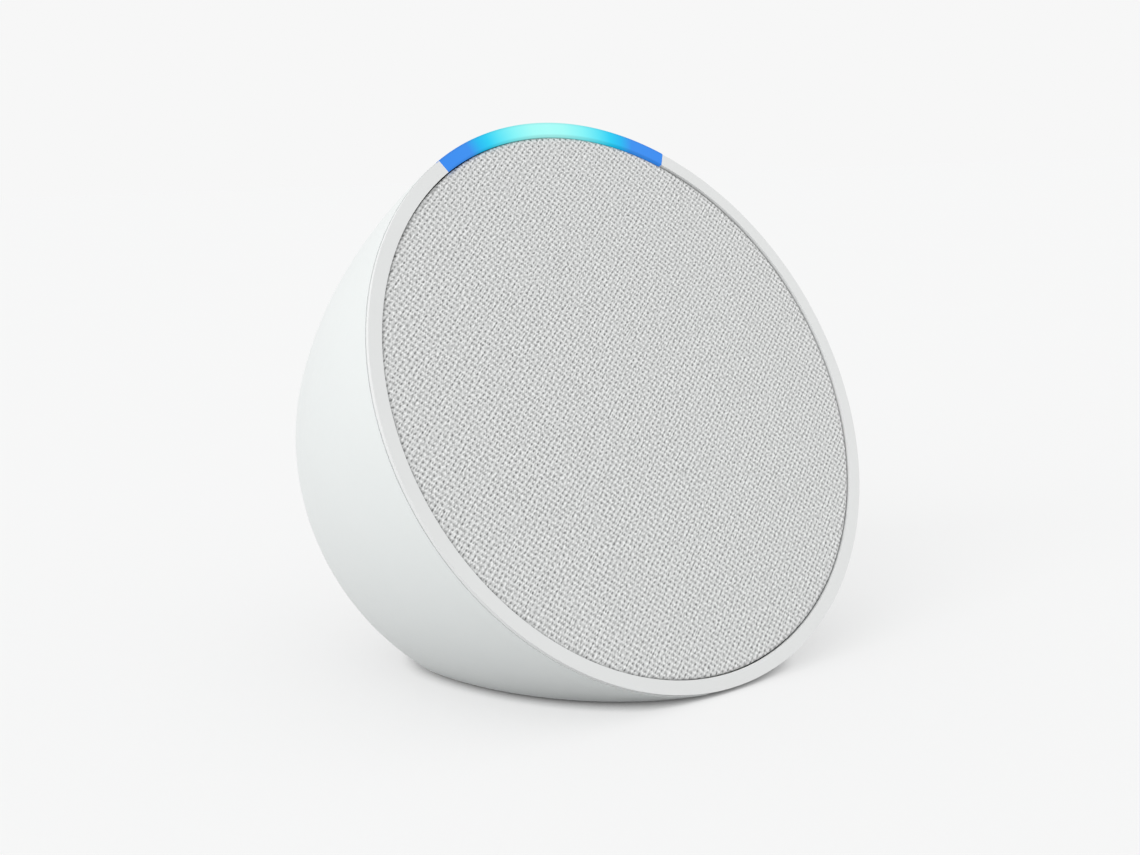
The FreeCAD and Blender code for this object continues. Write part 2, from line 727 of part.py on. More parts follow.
def make_driver():
    lip_radius = "surround_outer + 2 * sliding_gap"
    lip_depth = "baffle_front - basket_lip"
    corners = [
        (lip_radius, "basket_front"), ("basket_radius", "basket_front"), ("basket_radius", "baffle_front"),
        ("bucket_radius", "baffle_front"), ("bucket_back_radius", "basket_back"),
        ("basket_hole", "basket_back"), ("basket_hole", "basket_back - basket_wall"),
        ("bucket_back_radius - basket_wall", "basket_back - basket_wall"),
        ("bucket_radius - basket_wall", lip_depth), (lip_radius, lip_depth),
    ]
    basket = turned("basket_turned", corners)
    windows = []
    for angle in range(30, 390, 60):
        place = FACE * turn_about((0, 0, 1), angle) * shift(0, number("window_radius"), -number("window_depth"))
        windows.append(block("basket_window", "window_width", "window_length", "window_height", place))
    mounting = []
    for place in driver_screw_places():
        mounting.append(cylinder("basket_screw_hole", "driver_screw_hole", "driver_screw_length", place))
    node(cut("driver_basket", basket, *windows, *mounting), "driver_basket")
    screws("driver_screws", "driver_screw", driver_screw_places())

    half_roll = "(surround_outer - surround_inner) / 2"
    roll_middle = "(surround_outer + surround_inner) / 2"
    roll = doc.addObject("Part::Torus", "surround_roll")
    bind(roll, "Radius1", roll_middle)
    bind(roll, "Radius2", half_roll)
    roll.Placement = on_face(0, 0, number("cone_front"))
    hollow = doc.addObject("Part::Torus", "surround_hollow")
    bind(hollow, "Radius1", roll_middle)
    bind(hollow, "Radius2", half_roll + " - surround_wall")
    hollow.Placement = roll.Placement
    front_half = cylinder("surround_front", "basket_radius", "surround_outer - surround_inner", on_face(
        0, 0, number("cone_front")))
    node(common("cone_surround", cut("surround_tube", roll, hollow), front_half), "cone_surround")

    node(turned("speaker_cone", [
        ("cone_radius", "cone_front"), ("cone_radius", "cone_front + cone_wall"),
        ("former_radius + cone_wall", "cone_back + cone_wall"), ("former_radius", "cone_back + cone_wall"),
        ("former_radius", "cone_back"), ("former_radius + cone_wall", "cone_back")]), "speaker_cone")
    cap_ball = doc.addObject("Part::Sphere", "cap_ball")
    bind(cap_ball, "Radius", "cap_radius")
    cap_hollow = doc.addObject("Part::Sphere", "cap_hollow")
    bind(cap_hollow, "Radius", "cap_radius - cap_wall")
    for ball in (cap_ball, cap_hollow):
        ball.Placement = on_face(0, 0, number("cap_centre_depth"))
    trim = cylinder("cap_trim", "former_radius - sliding_gap", "cap_radius", on_face(
        0, 0, number("cap_edge_depth")))
    node(common("dust_cap", cut("cap_shell", cap_ball, cap_hollow), trim), "dust_cap")
    former_front = "cone_back + cone_wall + touch_gap"
    node(ring("coil_former", "former_radius - former_wall", "former_radius", former_front, "former_back"),
        "coil_former")
    node(ring("voice_coil", "former_radius", "winding_radius", "winding_front", "winding_back"), "voice_coil")

    # the spider is a corrugated disc between the coil former and a ledge in the basket
    crests = []
    radius = number("former_radius + spider_gap")
    rise = number("spider_rise")
    while radius < number("spider_radius"):
        crests.append((radius, rise * (len(crests) % 2)))
        radius += number("spider_step")
    crests.append((number("spider_radius"), 0))
    front_side = [("%.3f" % r, "spider_depth - %.3f" % lift) for r, lift in crests]
    back_side = [("%.3f" % r, "spider_depth + spider_thickness - %.3f" % lift) for r, lift in reversed(crests)]
    node(turned("spider", front_side + back_side), "spider")
    node(ring("top_plate", "plate_hole", "plate_radius", "basket_back", "plate_back"), "top_plate")
    node(ring("ring_magnet", "magnet_hole", "magnet_radius", "plate_back", "magnet_back"), "ring_magnet")
    node(turned("yoke", [
        ("0", "basket_back"), ("pole_radius", "basket_back"), ("pole_radius", "magnet_back"),
        ("plate_radius", "magnet_back"), ("plate_radius", "yoke_back"), ("0", "yoke_back")]), "yoke")
    # the terminal strip stands on the outside of the bucket, below the magnet
    bucket = doc.addObject("Part::Cone", "bucket_outside")
    bind(bucket, "Radius1", "bucket_back_radius")
    bind(bucket, "Radius2", "bucket_radius")
    bind(bucket, "Height", "basket_back - baffle_front")
    bucket.Placement = on_face(0, 0, number("basket_back"))
    strip_block = block("terminal_block", "terminal_length", "terminal_width", "terminal_height", on_face(
        0, number("terminal_row"), number("terminal_depth")))
    strip = cut("terminal_strip", strip_block, bucket)
    tabs = []
    for side in LEAD_SIDES:
        place = on_face(side, LEAD_ROW, TERMINAL_END)
        tabs.append(block("terminal_tab", "tab_width", "tab_thickness", "tab_height", place))
    node(fuse("driver_terminals", strip, *tabs), "driver_terminals")


# ---------------------------------------------------------------- main board

def on_board(name, side=0):
    """A block for one of the board's parts, standing on the board's back face or on another part."""
    depth = number("board_front + board_thickness + %s_level + %s_height" % (name, name))
    place = on_face(number(name + "_x") + side, number(name + "_y"), depth)
    return block(name + "_block", name + "_length", name + "_width", name + "_height", place)


def make_main_board():
    board = ring("board_disc", "0", "board_radius", "board_front", "board_front + board_thickness")
    circle = number("standoff_circle")
    back_face = number("board_front + board_thickness")
    places = around(3, circle, back_face, 90)
    holes = []
    for place in places:
        start = place * shift(0, 0, -number("board_thickness + spare"))
        holes.append(cylinder("board_hole", "board_screw_hole", "board_thickness + 2 * spare", start))
    node(cut("main_board", board, *holes), "main_board")
    pillars = []
    for place in around(3, circle, number("box_back"), 90):
        pillar = cylinder("pillar", "standoff_radius", "board_front - box_back", place)
        bore = cylinder("pillar_bore", "board_screw_pilot", "2 * board_screw_length", place)
        pillars.append(cut("pillar_bored", pillar, bore))
    node(group("board_standoffs", pillars), "board_standoffs")
    screws("main_board_screws", "board_screw", [place * turn_about((1, 0, 0), 180) for place in places])

    for name in ("processor", "thermal_pad", "heat_spreader", "wireless_module", "amplifier_chip"):
        node(on_board(name), name)
    can_place = on_face(number("shield_can_x"), number("shield_can_y"), back_face + number(
        "shield_can_level + shield_can_height - can_wall"))
    can_hollow = block("can_hollow", "shield_can_length - 2 * can_wall", "shield_can_width - 2 * can_wall",
        "shield_can_height - can_wall", can_place)
    node(cut("shield_can", on_board("shield_can"), can_hollow), "shield_can")
    antenna_sides = (-number("antenna_side"), number("antenna_side"))
    node(group("antennas", [on_board("antenna", side) for side in antenna_sides]), "antennas")
    cans = []
    for row in CAPACITOR_ROWS:
        place = on_face(number("capacitor_side"), row, back_face + number("capacitor_height"))
        cans.append(cylinder("capacitor", "capacitor_radius", "capacitor_height", place))
    node(group("capacitors", cans), "capacitors")


# ---------------------------------------------------------------- buttons

def make_buttons():
    cap_limit = dome("cap_limit", "-button_proud")
    flange_limit = dome("flange_limit", "shell_wall + flange_gap")
    for name, side in zip(BUTTON_NAMES, button_sides):
        cap = common(name + "_cap", cap_limit, cylinder(
            name + "_cap_rod", "button_radius", "button_floor + 2 * spare",
            in_buttons(side, 0, -number("button_floor"))))
        flange = common(name + "_flange", flange_limit, cylinder(
            name + "_flange_rod", "flange_radius", "button_floor",
            in_buttons(side, 0, -number("button_floor"))))
        stem = cylinder(name + "_stem", "stem_radius", "plunger_top - button_floor", in_buttons(
            side, 0, -number("plunger_top")))
        node(fuse(name, cap, flange, stem), name + "_button")
        node(cylinder(name + "_plunger_rod", "plunger_radius", "plunger_bottom - plunger_top", in_buttons(
            side, 0, -number("plunger_bottom"))), name + "_plunger")

    switches = []
    for side in button_sides:
        base = block("switch_block", "switch_size", "switch_size", "key_board_top - switch_top", in_buttons(
            side, 0, -number("key_board_top")))
        bore = cylinder("switch_bore", "switch_bore", "switch_bore_depth + 1", in_buttons(
            side, 0, -number("switch_top + switch_bore_depth")))
        switches.append(cut("switch", base, bore))
    node(group("button_switches", switches), "button_switches")

    underside = number("key_board_top + key_board_thickness")
    below_board = -number("key_board_top + key_board_thickness + spare")
    through_board = "key_board_thickness + 2 * spare"
    board = block("key_board", "key_board_length", "key_board_width", "key_board_thickness", in_buttons(
        0, number("key_board_shift"), -underside))
    holes = []
    for side in post_sides:
        place = in_buttons(side, 0, below_board)
        holes.append(cylinder("key_board_hole", "key_screw_hole", through_board, place))
    for side in mic_sides:
        place = in_buttons(side, MIC_ROW, below_board)
        holes.append(cylinder("mic_port", "mic_hole", through_board, place))
    node(cut("button_board", board, *holes), "button_board")
    screws("button_board_screws", "key_screw", [in_buttons(side, 0, -underside) for side in post_sides])

    mics = []
    tubes = []
    gasket_limit = dome("gasket_limit", "shell_wall + touch_gap")
    for side in mic_sides:
        mic_place = in_buttons(side, MIC_ROW, -underside - number("mic_height"))
        mics.append(block("mic_can", "mic_length", "mic_width", "mic_height", mic_place))
        tube = cylinder("gasket_rod", "gasket_radius", "key_board_top", in_buttons(
            side, MIC_ROW, -number("key_board_top")))
        bore = cylinder("gasket_way", "gasket_bore", "key_board_top + 2 * spare", in_buttons(
            side, MIC_ROW, -number("key_board_top + spare")))
        tubes.append(cut("gasket", common("gasket_trim", tube, gasket_limit), bore))
    node(group("microphones", mics), "microphones")
    node(group("microphone_gaskets", tubes), "microphone_gaskets")


# ---------------------------------------------------------------- power inlet

def make_inlet():
    collar = cylinder("collar_outer", "inlet_collar_radius", "inlet_length", in_inlet(0, 0, 0))
    bore = cylinder("collar_bore", "inlet_bore", "inlet_length + 2 * spare", in_inlet(0, 0, -number("spare")))
    node(cut("inlet_collar", collar, bore), "inlet_collar")
    back = -number("jack_length")
    inside = -number("jack_length - jack_end_wall")
    groove_up = number("jack_bore + groove_rise")
    leaf_up = groove_up + number("leaf_rise")
    housing = block("jack_block", "jack_size", "jack_size", "jack_length", in_inlet(0, 0, back))
    hollow = cylinder("jack_hollow", "jack_bore", "jack_length", in_inlet(0, 0, inside))
    groove = block("jack_groove", "groove_width", "groove_height", "groove_length", in_inlet(
        0, groove_up, inside))
    node(cut("power_jack", housing, hollow, groove), "power_jack")
    node(cylinder("jack_pin_rod", "pin_radius", "pin_length", in_inlet(0, 0, inside)), "jack_pin")
    node(block("jack_leaf", "leaf_width", "leaf_thickness", "leaf_length", in_inlet(0, leaf_up, inside)),
        "jack_spring")


# ---------------------------------------------------------------- flat cables and leads

def rounded_path(points):
    """Straight runs joined by tangent arcs, each as large as its two runs allow."""
    edges = []
    start = points[0]
    for before, corner, after in zip(points, points[1:], points[2:]):
        back_way = before - corner
        on_way = after - corner
        turn = math.pi - back_way.getAngle(on_way)
        reach = 0.45 * min(back_way.Length, on_way.Length)
        first = corner + back_way.normalize() * reach
        last = corner + on_way.normalize() * reach
        toward_centre = (first + last) * 0.5 - corner
        radius = reach / math.tan(turn / 2)
        centre_distance = radius / math.cos(turn / 2)
        middle = corner + toward_centre.normalize() * (centre_distance - radius)
        edges.append(Part.LineSegment(start, first).toShape())
        edges.append(Part.Arc(first, middle, last).toShape())
        start = last
    edges.append(Part.LineSegment(start, points[-1]).toShape())
    return Part.Wire(edges)


def swept(name, section, path):
    """A closed section carried along a path, placed in the world frame."""
    item = doc.addObject("Part::Feature", name)
    item.Shape = path.makePipeShell([section], True, False)
    item.Placement = WORLD
    return item


def ribbon(name, frame, across, points, width):
    """A flat cable in a plane of the given frame; points are (height, depth), across is its place sideways."""
    corners = [frame.multVec(Vector(across, height, -depth)) for height, depth in points]
    path = rounded_path(corners)
    side = frame.Rotation.multVec(Vector(1, 0, 0)) * (number(width) / 2)
    way = (corners[1] - corners[0]).normalize()
    face = way.cross(side).normalize() * (number("cable_thickness") / 2)
    start = corners[0]
    outline = [start - side - face, start + side - face, start + side + face, start - side + face]
    section = Part.makePolygon(outline + outline[:1])
    return node(swept(name, section, path), name)


def round_lead(name, corners):
    path = rounded_path(corners)
    way = corners[1] - corners[0]
    section = Part.Wire(Part.Circle(corners[0], way, number("lead_radius")).toShape())
    return swept(name, section, path)


def from_key_board(drop):
    """A point under the button board's edge in the face frame, as (height, depth)."""
    edge = in_buttons(0, number("mic_back"), -number("key_board_top + key_board_thickness") - drop)
    point = FACE.inverse().multVec(edge.Base)
    return point.y, -point.z


def make_cables():
    # both flat cables end inside their sockets, just in front of the main board
    entry = number("board_front - socket_height / 2")
    ribbon("light_cable", LIGHT_CABLE_PLANE, 0, [
        (LIGHT_CABLE_START, number("baffle_front")), (LIGHT_CABLE_START, 13), (37, 29), (29.5, entry),
        (LIGHT_CABLE_END, entry)], "light_cable_width")
    ribbon("button_cable", FACE, BUTTON_CABLE_SIDE, [
        from_key_board(0), from_key_board(2.5), (32.0, 31), (29.0, entry), (BUTTON_CABLE_END, entry)],
        "button_cable_width")
    shift_in = number("socket_shift")
    light_place = LIGHT_CABLE_PLANE * shift(0, LIGHT_CABLE_END - shift_in, -number("board_front"))
    button_place = on_face(BUTTON_CABLE_SIDE, BUTTON_CABLE_END - shift_in, number("board_front"))
    sockets = [
        block("light_socket", "light_socket_length", "socket_width", "socket_height", light_place),
        block("button_socket", "button_socket_length", "socket_width", "socket_height", button_place),
    ]
    node(group("cable_sockets", sockets), "cable_sockets")
    leads = []
    for side in LEAD_SIDES:
        route = [
            (side, LEAD_ROW, TERMINAL_END), (side, LEAD_ROW, 26), (side * 1.3, LEAD_ROW - 1.2, 30),
            (side, LEAD_ROW, 34), (side, LEAD_ROW, number("board_front"))]
        leads.append(round_lead("speaker_lead", [FACE.multVec(Vector(x, y, -depth)) for x, y, depth in route]))
    node(group("speaker_leads", leads), "speaker_leads")
    behind_board = cylinder("behind_board", "beyond", "beyond", on_face(
        0, 0, number("board_front + board_thickness + beyond")))
    leads = []
    for side in POWER_LEAD_SIDES:
        wire = cylinder("power_wire", "lead_radius", "power_lead_length", in_inlet(
            side, 0, -number("jack_length + power_lead_length")))
        leads.append(common("power_lead", behind_board, wire))
    node(group("power_leads", leads), "power_leads")


# ---------------------------------------------------------------- base

def make_base():
    forward = number("foot_forward")
    node(cylinder("foot_pad", "foot_radius", "foot_thickness", shift(0, forward, 0)), "rubber_foot")
    node(cylinder("foot_tape", "foot_radius - tape_margin", "tape_thickness", shift(
        0, forward, number("foot_thickness"))), "foot_adhesive")
    screws("base_screws", "base_screw", base_screw_spots("base_level + recess_depth + base_screw_head_height"))


make_rear_shell()
make_rim()
make_grille()
make_light_board()
make_baffle()
make_speaker_box()
make_driver()
make_main_board()
make_buttons()
make_inlet()
make_cables()
make_base()
doc.recompute()

for item in doc.Objects:
    if "Invalid" in item.State or "Error" in item.State:
        raise RuntimeError("%s failed: %s" % (item.Label, item.State))
for item in nodes:
    if item.Shape.isNull() or not item.Shape.isValid() or item.Shape.Volume < 1e-3:
        raise RuntimeError("%s has no valid shape" % item.Label)

os.makedirs("parts", exist_ok=True)
for item in nodes:
    item.Shape.exportStep("parts/%s.step" % item.Label)
whole = Part.makeCompound([item.Shape for item in nodes]).BoundBox
print("%d nodes" % len(nodes))
print("x %.3f %.3f, y %.3f %.3f, z %.3f %.3f" % (
    whole.XMin, whole.XMax, whole.YMin, whole.YMax, whole.ZMin, whole.ZMax))
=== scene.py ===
import json
import math

import bpy
import bmesh
import numpy as np
from mathutils import Matrix, Vector


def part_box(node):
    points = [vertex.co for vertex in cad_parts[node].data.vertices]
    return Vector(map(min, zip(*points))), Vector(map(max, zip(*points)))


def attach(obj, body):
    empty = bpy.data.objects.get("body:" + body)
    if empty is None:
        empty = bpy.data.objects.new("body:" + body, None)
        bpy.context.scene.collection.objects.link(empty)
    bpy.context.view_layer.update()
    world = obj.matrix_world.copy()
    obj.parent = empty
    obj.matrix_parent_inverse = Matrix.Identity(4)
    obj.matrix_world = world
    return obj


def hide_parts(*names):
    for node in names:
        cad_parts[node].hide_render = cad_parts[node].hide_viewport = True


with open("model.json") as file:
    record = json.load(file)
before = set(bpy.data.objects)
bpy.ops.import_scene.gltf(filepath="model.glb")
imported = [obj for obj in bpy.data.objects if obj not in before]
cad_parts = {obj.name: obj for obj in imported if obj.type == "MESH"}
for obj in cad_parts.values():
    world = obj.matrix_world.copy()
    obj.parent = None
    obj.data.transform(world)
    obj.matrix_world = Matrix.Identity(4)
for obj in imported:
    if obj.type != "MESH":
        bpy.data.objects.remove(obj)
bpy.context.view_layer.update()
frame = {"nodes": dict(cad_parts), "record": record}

# Lengths are in metres, in the CAD model's own frame: the face looks towards -Y and tilts up.
MM = 0.001
FACE_TILT = math.radians(25)
FABRIC_FRONT = 0.3 * MM
FABRIC_THICKNESS = 0.6 * MM
BAR_HALF_ANGLE = math.radians(29.4)
BAR_INNER = 47.1 * MM
BAR_OUTER = 49.5 * MM

face_out = Vector((0, -math.cos(FACE_TILT), math.sin(FACE_TILT)))
face_up = Vector((0, math.sin(FACE_TILT), math.cos(FACE_TILT)))


def middle(node):
    low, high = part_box(node)
    return (low + high) / 2


fabric_low, fabric_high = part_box("grille_fabric")
fabric_radius = (fabric_high.x - fabric_low.x) / 2
# the face frame: X to the right, Y up the face, Z out of it, origin in the plane of the rim
face_centre = middle("grille_fabric") + face_out * (FABRIC_FRONT + FABRIC_THICKNESS / 2)
FACE = Matrix.Translation(face_centre) @ Matrix.Rotation(math.pi / 2 - FACE_TILT, 4, "X")


# ---------------------------------------------------------------- node material helpers

BLACK = (0, 0, 0, 1)
WHITE = (1, 1, 1, 1)


class Nodes:
    """Short names for building a material's node tree."""

    def __init__(self, name):
        self.material = bpy.data.materials.new(name)
        self.material.use_nodes = True
        self.tree = self.material.node_tree
        self.shader = self.tree.nodes["Principled BSDF"]

    def add(self, kind, **settings):
        made = self.tree.nodes.new("ShaderNode" + kind)
        for key, value in settings.items():
            setattr(made, key, value)
        return made

    def join(self, start, end):
        self.tree.links.new(start, end)

    def put(self, socket, value):
        """Links a socket to another, or sets its value."""
        if isinstance(value, bpy.types.NodeSocket):
            self.join(value, socket)
        else:
            socket.default_value = value

    def math(self, operation, a, b=0.0):
        made = self.add("Math", operation=operation)
        self.put(made.inputs[0], a)
        self.put(made.inputs[1], b)
        return made.outputs[0]

    def mix(self, share, a, b):
        """Colour a where share is 0, b where it is 1."""
        made = self.add("Mix", data_type="RGBA")
        self.put(made.inputs["Factor"], share)
        # the node has sockets of the same name for each type: these three are the colours
        self.put(made.inputs[6], a)
        self.put(made.inputs[7], b)
        return made.outputs[2]

    def place(self):
        return self.add("TexCoord").outputs["Object"]

    def noise(self, scale, detail, roughness=0.5):
        made = self.add("TexNoise")
        self.join(self.place(), made.inputs["Vector"])
        self.put(made.inputs["Scale"], scale)
        self.put(made.inputs["Detail"], detail)
        self.put(made.inputs["Roughness"], roughness)
        return made.outputs["Fac"]

    def spread(self, value, low, high, to_low, to_high):
        """Takes low..high to to_low..to_high, and stays within them."""
        made = self.add("MapRange")
        for socket, number in zip(made.inputs, (value, low, high, to_low, to_high)):
            self.put(socket, number)
        return made.outputs[0]

    def bump(self, height, distance, strength=1.0):
        """Fine relief: distance is its depth in metres."""
        made = self.add("Bump")
        self.put(made.inputs["Height"], height)
        self.put(made.inputs["Distance"], distance)
        self.put(made.inputs["Strength"], strength)
        self.join(made.outputs["Normal"], self.shader.inputs["Normal"])

    def set(self, **values):
        names = {"color": "Base Color", "roughness": "Roughness", "metallic": "Metallic",
                 "specular": "Specular IOR Level", "sheen": "Sheen Weight",
                 "sheen_roughness": "Sheen Roughness", "glow": "Emission Color",
                 "glow_strength": "Emission Strength"}
        for key, value in values.items():
            self.put(self.shader.inputs[names[key]], value)
        return self.material


# scales of the noise patterns, per metre: a larger number is a finer pattern
TONE_SCALE = 60
GLOSS_SCALE = 900
GRAIN_SCALE = 5200
METAL_GLOSS_SCALE = 1200
METAL_GRAIN_SCALE = 3000
PLASTIC_GRAIN = 0.02 * MM
METAL_GRAIN = 0.01 * MM


def moulded(name, color, roughness, grain=0.35, tint=0.015):
    """Moulded plastic: fine spark-eroded grain, very slight unevenness of tone and gloss."""
    m = Nodes(name)
    broad = m.noise(TONE_SCALE, 2)
    fine = m.noise(GRAIN_SCALE, 2, 0.6)
    darker = tuple(c * (1 - tint) for c in color) + (1,)
    lighter = tuple(min(1, c * (1 + tint)) for c in color) + (1,)
    m.bump(fine, PLASTIC_GRAIN * grain)
    return m.set(
        color=m.mix(broad, darker, lighter),
        roughness=m.spread(m.noise(GLOSS_SCALE, 2), 0.3, 0.7, roughness - 0.04, roughness + 0.04),
        specular=0.45)


def metal(name, color, roughness):
    """Machined or plated metal, a little uneven in gloss."""
    m = Nodes(name)
    m.bump(m.noise(METAL_GRAIN_SCALE, 2), METAL_GRAIN)
    gloss = m.noise(METAL_GLOSS_SCALE, 3)
    return m.set(
        color=color + (1,),
        metallic=1.0,
        roughness=m.spread(gloss, 0.3, 0.7, roughness - 0.06, roughness + 0.08))


# ---------------------------------------------------------------- a finish for each material slot

FINISH = {
    # outside
    "shell_white": moulded("shell_white", (0.742, 0.768, 0.762), 0.42),
    "rim_white": moulded("rim_white", (0.75, 0.76, 0.756), 0.38, grain=0.2),
    "button_white": moulded("button_white", (0.74, 0.75, 0.746), 0.40, grain=0.2),
    "foot_rubber": moulded("foot_rubber", (0.42, 0.43, 0.43), 0.72, grain=0.8, tint=0.05),
    # inside: mouldings, rubber and film
    "inner_plastic": moulded("black_plastic", (0.025, 0.025, 0.028), 0.5, tint=0.1),
    "plunger_plastic": moulded("plunger_plastic", (0.12, 0.12, 0.13), 0.4, tint=0.05),
    "pad_rubber": moulded("pad_rubber", (0.25, 0.27, 0.3), 0.8, tint=0.08),
    "surround_rubber": moulded("surround_rubber", (0.02, 0.02, 0.02), 0.55, tint=0.1),
    "cable_film": moulded("cable_film", (0.45, 0.2, 0.04), 0.25, grain=0.05, tint=0.06),
    "lead_cover": moulded("lead_cover", (0.45, 0.03, 0.025), 0.45, tint=0.05),
    "adhesive": moulded("adhesive", (0.65, 0.65, 0.58), 0.5, tint=0.04),
    # inside: boards and what sits on them
    "circuit_board": moulded("circuit_board", (0.02, 0.14, 0.06), 0.28, grain=0.4, tint=0.12),
    "chip_plastic": moulded("chip_plastic", (0.02, 0.02, 0.022), 0.4, tint=0.1),
    "led_package": moulded("led_package", (0.85, 0.8, 0.5), 0.3, grain=0.1, tint=0.03),
    "antenna_ceramic": moulded("antenna_ceramic", (0.75, 0.7, 0.6), 0.5, tint=0.05),
    # inside: the driver
    "ferrite": moulded("ferrite", (0.035, 0.035, 0.04), 0.5, grain=1.0, tint=0.15),
    "cone_paper": moulded("cone_paper", (0.03, 0.03, 0.032), 0.8, grain=1.5, tint=0.2),
    "spider_cloth": moulded("spider_cloth", (0.42, 0.22, 0.07), 0.85, grain=2.0, tint=0.15),
    # metals
    "screw_steel": metal("screw_steel", (0.55, 0.55, 0.57), 0.32),
    "basket_steel": metal("basket_steel", (0.42, 0.42, 0.44), 0.38),
    "spreader_metal": metal("spreader_metal", (0.7, 0.7, 0.72), 0.35),
    "brass_insert": metal("brass_insert", (0.7, 0.5, 0.2), 0.3),
    "contact_metal": metal("contact_metal", (0.7, 0.68, 0.62), 0.22),
    "copper_wire": metal("copper_wire", (0.72, 0.3, 0.12), 0.3),
}
FINISH["inlet_plastic"] = FINISH["inner_plastic"]
FINISH["former_metal"] = FINISH["spreader_metal"]


# ---------------------------------------------------------------- the lit bar

def face_coordinates(m):
    """A point's place in the face frame, in metres, for a material's nodes."""
    from_centre = m.add("VectorMath", operation="SUBTRACT")
    m.join(m.place(), from_centre.inputs[0])
    from_centre.inputs[1].default_value = face_centre
    parts = []
    for direction in (Vector((1, 0, 0)), face_up, face_out):
        dot = m.add("VectorMath", operation="DOT_PRODUCT")
        m.join(from_centre.outputs[0], dot.inputs[0])
        dot.inputs[1].default_value = direction
        parts.append(dot.outputs["Value"])
    return parts


# colour of the lit bar at an angle either side of the top, in degrees
BAR_COLORS = [
    (0, (0.39, 0.97, 0.93)),
    (4, (0.36, 0.96, 0.92)),
    (9, (0.22, 0.89, 0.92)),
    (13, (0.09, 0.76, 0.91)),
    (16, (0.012, 0.62, 0.90)),
    (18.5, (0.006, 0.49, 0.88)),
    (21.5, (0.035, 0.27, 0.86)),
    (29.4, (0.032, 0.25, 0.86)),
]
# the glow seen from the front reaches this deep, and fades out below it
GLOW_FADES_FROM = 0.5 * MM
GLOW_ENDS_AT = 1.2 * MM
# the outer wall glows at any depth
WALL_STARTS = 0.3 * MM
WALL_FULL = 0.1 * MM
# share of the glow left at the bar's inner and outer edge, and how wide each weaker edge is; the loss at the
# inner edge is painted shade of the gap between bar and fabric
INNER_EDGE_SHADE_SHARE = 0.8
INNER_EDGE_SHADE_WIDTH = 0.35 * MM
OUTER_EDGE_SHARE = 0.85
OUTER_EDGE_WIDTH = 0.4 * MM


def light_bar_color(m, x, y):
    """Pale aqua round the top, then cyan, and blue at both ends."""
    angle = m.math("ABSOLUTE", m.math("ARCTAN2", x, y))
    along = m.spread(angle, 0.0, BAR_HALF_ANGLE, 0.0, 1.0)
    ramp = m.add("ValToRGB")
    m.join(along, ramp.inputs["Fac"])
    elements = ramp.color_ramp.elements
    elements.remove(elements[1])
    for degrees, color in BAR_COLORS:
        stop = elements.new(degrees / math.degrees(BAR_HALF_ANGLE))
        stop.color = (*color, 1)
    elements.remove(elements[0])
    return ramp.outputs["Color"]


def light_bar_material():
    """Diffuser lit from behind: it shines from its front and its outer wall, and is dark deeper in; along its
    inner edge its glow is dimmed as painted shade.
    """
    m = Nodes("light_diffuser")
    x, y, z = face_coordinates(m)
    radius = m.math("SQRT", m.math("ADD", m.math("MULTIPLY", x, x), m.math("MULTIPLY", y, y)))
    front = m.spread(z, -GLOW_ENDS_AT, -GLOW_FADES_FROM, 0.0, 1.0)
    wall = m.spread(radius, BAR_OUTER - WALL_STARTS, BAR_OUTER - WALL_FULL, 0.0, 1.0)
    # painted shade: the glow is dimmed along the inner edge, by the gap to the fabric
    inner_edge_shade = m.spread(radius, BAR_INNER, BAR_INNER + INNER_EDGE_SHADE_WIDTH, INNER_EDGE_SHADE_SHARE, 1.0)
    outer_edge = m.spread(radius, BAR_OUTER - OUTER_EDGE_WIDTH, BAR_OUTER, 1.0, OUTER_EDGE_SHARE)
    shown = m.math("MULTIPLY", m.math("MAXIMUM", front, wall), m.math("MULTIPLY", inner_edge_shade, outer_edge))
    glow = m.mix(shown, BLACK, light_bar_color(m, x, y))
    return m.set(color=(0.012, 0.014, 0.016, 1), roughness=0.4, specular=0.1, glow=glow, glow_strength=1.0)


FINISH["light_diffuser"] = light_bar_material()

slot_of = {part["node"]: part["material_slot"] for part in frame["record"]["subparts"]}
for name, piece in frame["nodes"].items():
    # the grille fabric is replaced by the knit below
    if name != "grille_fabric":
        for slot in piece.material_slots:
            slot.material = FINISH[slot_of[name]]


# ---------------------------------------------------------------- the knit over the face

# two crossed families of threads leave a diamond lattice of small openings, wider than it is high
CELL_WIDTH = 1.27 * MM
CELL_HEIGHT = 1.12 * MM
SAMPLES_PER_CELL = 4
ROW_LEAN = 0.035
# how strongly each family of threads shows, and how much alternate columns and rows of loops differ
FALLING_THREADS = 0.29
RISING_THREADS = 0.16
COLUMN_CHANGE = 0.05
COLUMN_PHASE = 0.5
ROW_CHANGE = 0.02
ROW_PHASE = -1.8
# above 1 this makes the openings narrow and the threads broad
OPENING_SHARPNESS = 1.8
UNEVENNESS = 0.13
SEED = 4
THREAD_RELIEF = 0.17 * MM
THREAD_WANDER = 0.03 * MM
WANDER_SAMPLES = 3
# the fabric is rolled down and tucked in round its edge, and painted shade darkens it there
EDGE_ROLL = 0.6 * MM
EDGE_DROP = 0.25 * MM
EDGE_PAINTED_SHADE = 0.4


def soft_noise(rng, shape, cells):
    """Smooth noise of about unit size: random values on a coarse grid, blended between."""
    rows, columns = shape
    coarse = rng.normal(0, 1, (rows // cells + 3, columns // cells + 3))
    row = np.arange(rows) / cells
    column = np.arange(columns) / cells
    i, j = row.astype(int)[:, None], column.astype(int)[None, :]
    u, v = (row % 1)[:, None], (column % 1)[None, :]
    near = coarse[i, j] * (1 - v) + coarse[i, j + 1] * v
    far = coarse[i + 1, j] * (1 - v) + coarse[i + 1, j + 1] * v
    return near * (1 - u) + far * u


